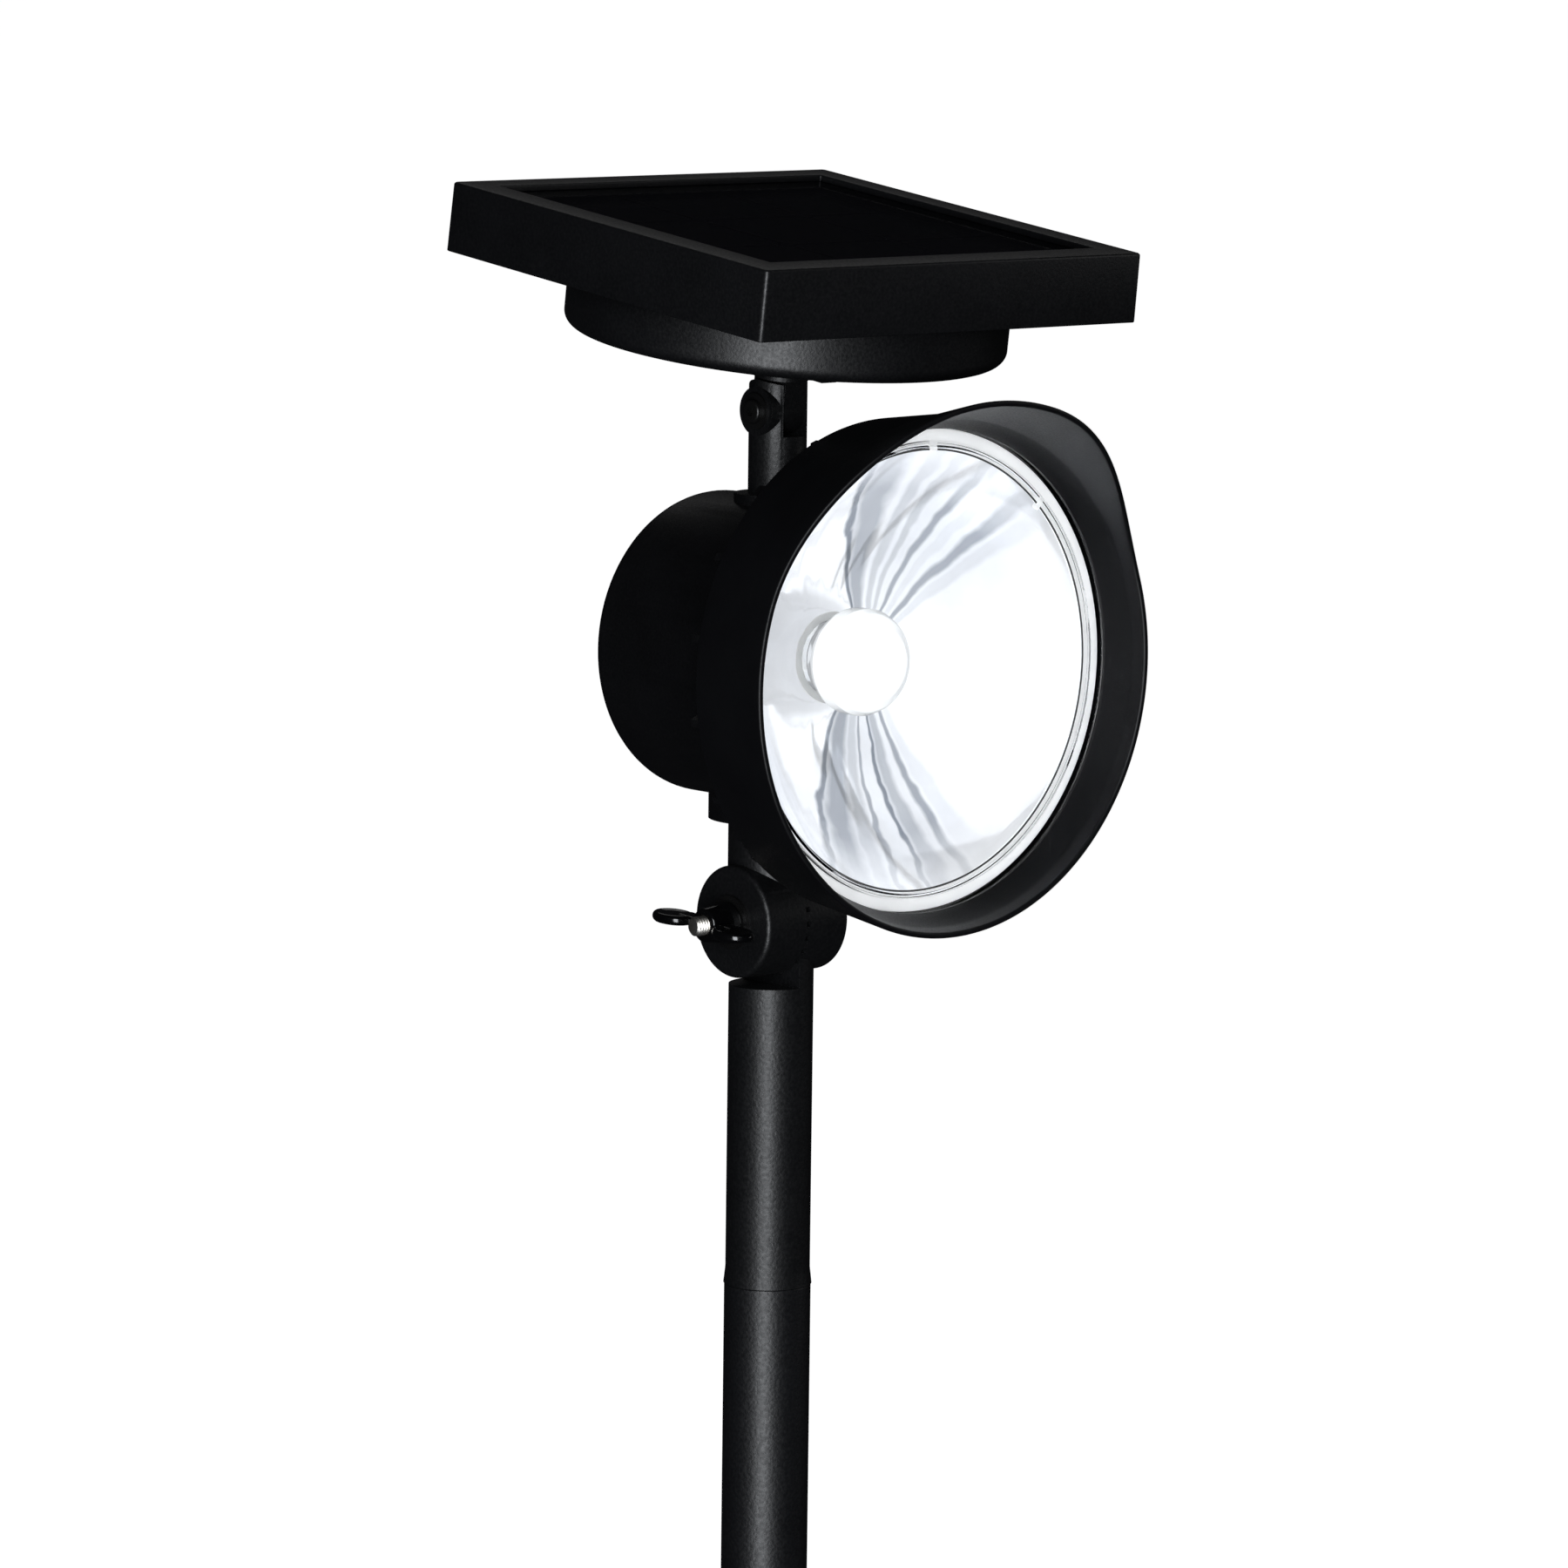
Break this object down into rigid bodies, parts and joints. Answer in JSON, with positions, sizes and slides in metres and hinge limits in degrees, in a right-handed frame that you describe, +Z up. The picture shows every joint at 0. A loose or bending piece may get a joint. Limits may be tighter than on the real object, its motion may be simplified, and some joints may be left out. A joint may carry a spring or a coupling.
{
  "type": "solar garden light",
  "caption": "Round hooded garden spotlight on a staked pole, with a tilting square solar panel above the lamp and a wing-nut tilt pivot below it.",
  "frame": {"origin": "on the pole's axis at ground level, where the spike's fins enter the soil", "axes": "+Z up along the pole, the lamp looks along -Y, the wing nut is on the -X side"},
  "size_m": [0.1528, 0.1623, 0.8238],
  "materials": {
    "pole_paint": "fine matte grain, black powder coat",
    "post_plastic": "black moulded plastic, fine grain",
    "housing_plastic": "black moulded plastic, matte",
    "hood_plastic": "black moulded plastic, satin",
    "panel_plastic": "black moulded plastic, fine grain",
    "stake_plastic": "black moulded plastic, matte",
    "wing_plastic": "glossy black",
    "zinc": "zinc plated",
    "black_screw": "black oxide",
    "reflector_mirror": "vacuum metallised, polished",
    "lens_clear": "clear, moulded ring and groove",
    "globe_clear": "clear, polished",
    "gasket_rubber": "soft black",
    "led_light": "white LED, lit",
    "board_green": "solder mask",
    "board_metal": "bare aluminium",
    "carrier_white": "white moulded",
    "cell_wrap": "printed shrink sleeve, plain",
    "solar_silicon": "dark blue-black cells",
    "solar_cover": "clear tempered cover",
    "backing_sheet": "laminate backing"
  },
  "bodies": {
    "ground_pole": {"ground_stake": "stake_plastic", "lower_tube": "pole_paint"},
    "post": {"upper_post": "post_plastic", "pivot_bolt": "zinc"},
    "pivot_washer": {"pivot_washer": "black_screw"},
    "wing_nut": {"wing_nut": "wing_plastic"},
    "lamp_head": {"neck_bracket": "post_plastic", "neck_screw": "black_screw", "rear_housing": "housing_plastic", "led_mount": "carrier_white", "mount_screws": "black_screw", "led_board": "board_metal", "led_emitter": "led_light", "bulb_ring": "carrier_white", "bulb_globe": "globe_clear", "reflector": "reflector_mirror", "lens_gasket": "gasket_rubber", "lens": "lens_clear", "hood": "hood_plastic", "panel_arm": "post_plastic", "arm_screw": "black_screw", "hinge_bolt": "black_screw", "hinge_washer": "black_screw", "hinge_nut": "black_screw"},
    "solar_panel": {"panel_stub": "post_plastic", "stub_nut": "black_screw", "battery_housing": "panel_plastic", "battery_tray": "panel_plastic", "battery_cells": "cell_wrap", "control_board": "board_green", "switch_body": "panel_plastic", "panel_frame": "panel_plastic", "housing_screws": "black_screw", "solar_glass": "solar_cover", "solar_cells": "solar_silicon", "solar_backing": "backing_sheet", "panel_seal": "gasket_rubber"},
    "power_switch": {"switch_slider": "post_plastic"}
  },
  "joints": [
    {"name": "head_pan", "type": "hinge", "parent": "ground_pole", "child": "post", "pos_m": [0, 0, 0.3092], "axis": [0, 0, 1], "continuous": true},
    {"name": "head_tilt", "type": "hinge", "parent": "post", "child": "lamp_head", "pos_m": [0, 0, 0.42], "axis": [1, 0, 0], "range_deg": [-75, 75]},
    {"name": "panel_tilt", "type": "hinge", "parent": "lamp_head", "child": "solar_panel", "pos_m": [0, 0, 0.5715], "axis": [1, 0, 0], "range_deg": [-60, 6]},
    {"name": "washer_slide", "type": "slide", "parent": "post", "child": "pivot_washer", "axis": [-1, 0, 0], "range_m": [0, 0.0025]},
    {"name": "wing_nut_turn", "type": "hinge", "parent": "pivot_washer", "child": "wing_nut", "pos_m": [-0.02, 0, 0.42], "axis": [-1, 0, 0], "range_deg": [0, 900]},
    {"name": "switch_slide", "type": "slide", "parent": "solar_panel", "child": "power_switch", "axis": [1, 0, 0], "range_m": [0, 0.006]}
  ],
  "couplings": [
    {"joint": "wing_nut_turn", "follows": "washer_slide", "rad_per_m": 6283.2}
  ]
}
